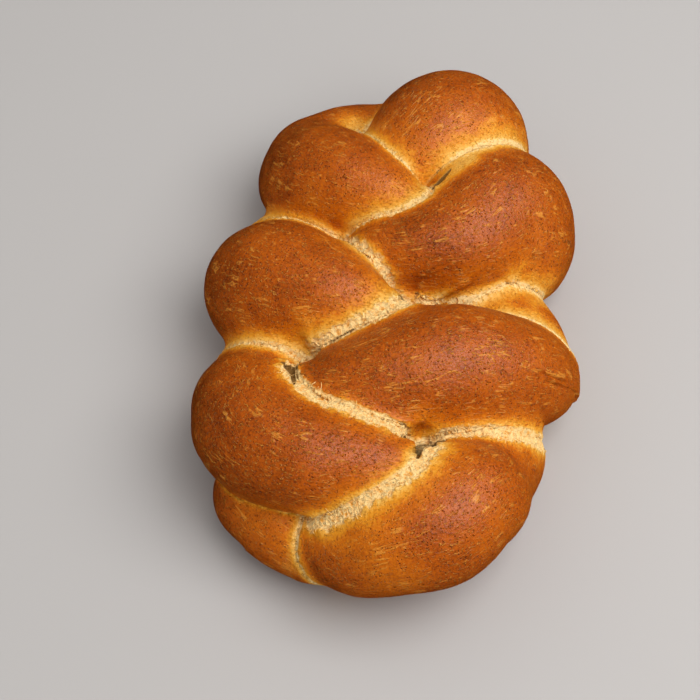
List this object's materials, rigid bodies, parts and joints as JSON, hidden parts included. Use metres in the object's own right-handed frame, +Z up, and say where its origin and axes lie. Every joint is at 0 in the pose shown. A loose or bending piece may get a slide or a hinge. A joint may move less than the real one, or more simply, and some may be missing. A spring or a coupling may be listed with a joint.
{
  "type": "braided loaf",
  "caption": "Plump baked loaf braided from thick strands of dough, with a browned crust, pale seams and a flat base.",
  "frame": {"origin": "centre of the loaf's outline, on the surface that it rests on", "axes": "+Z up, +Y along the loaf towards its far end, +X across it"},
  "size_m": [0.1816, 0.28, 0.0869],
  "materials": {
    "crust": "soft satin baked crust"
  },
  "bodies": {
    "root": {"loaf": "crust"}
  },
  "joints": []
}
